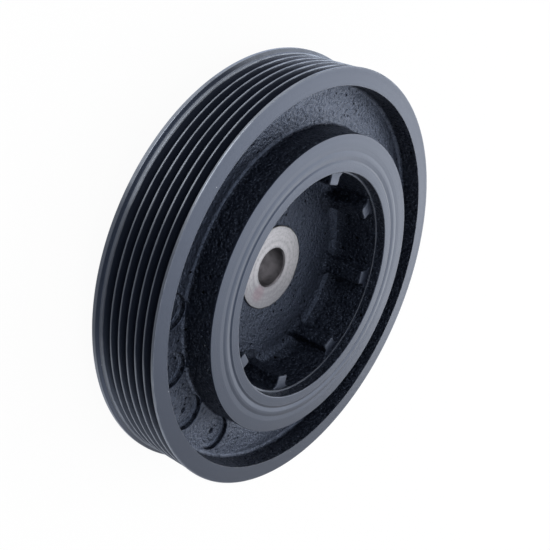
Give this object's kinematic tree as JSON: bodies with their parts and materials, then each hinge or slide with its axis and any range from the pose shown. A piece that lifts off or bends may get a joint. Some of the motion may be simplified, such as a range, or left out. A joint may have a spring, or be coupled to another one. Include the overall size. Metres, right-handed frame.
{
  "type": "crankshaft pulley",
  "caption": "Crankshaft pulley with a ribbed belt track round its rim, a rubber vibration damper ring and a deep ribbed cup for the centre bolt.",
  "frame": {"origin": "on the axis, in the plane of the hub's rear seat that the pulley lies on", "axes": "+Z along the axis, out of the open front; +X through one rib of the cup and the key notch"},
  "size_m": [0.154, 0.154, 0.0353],
  "materials": {
    "hub": "cast iron under thin satin black paint, with a bare machined bolt seat and bore",
    "rubber_ring": "bonded rubber, painted over with the rest",
    "pulley_ring": "cast iron under thin satin black paint, smooth where turned and rough where cast"
  },
  "bodies": {
    "root": {"hub": "hub", "rubber_ring": "rubber_ring", "pulley_ring": "pulley_ring"}
  },
  "joints": []
}
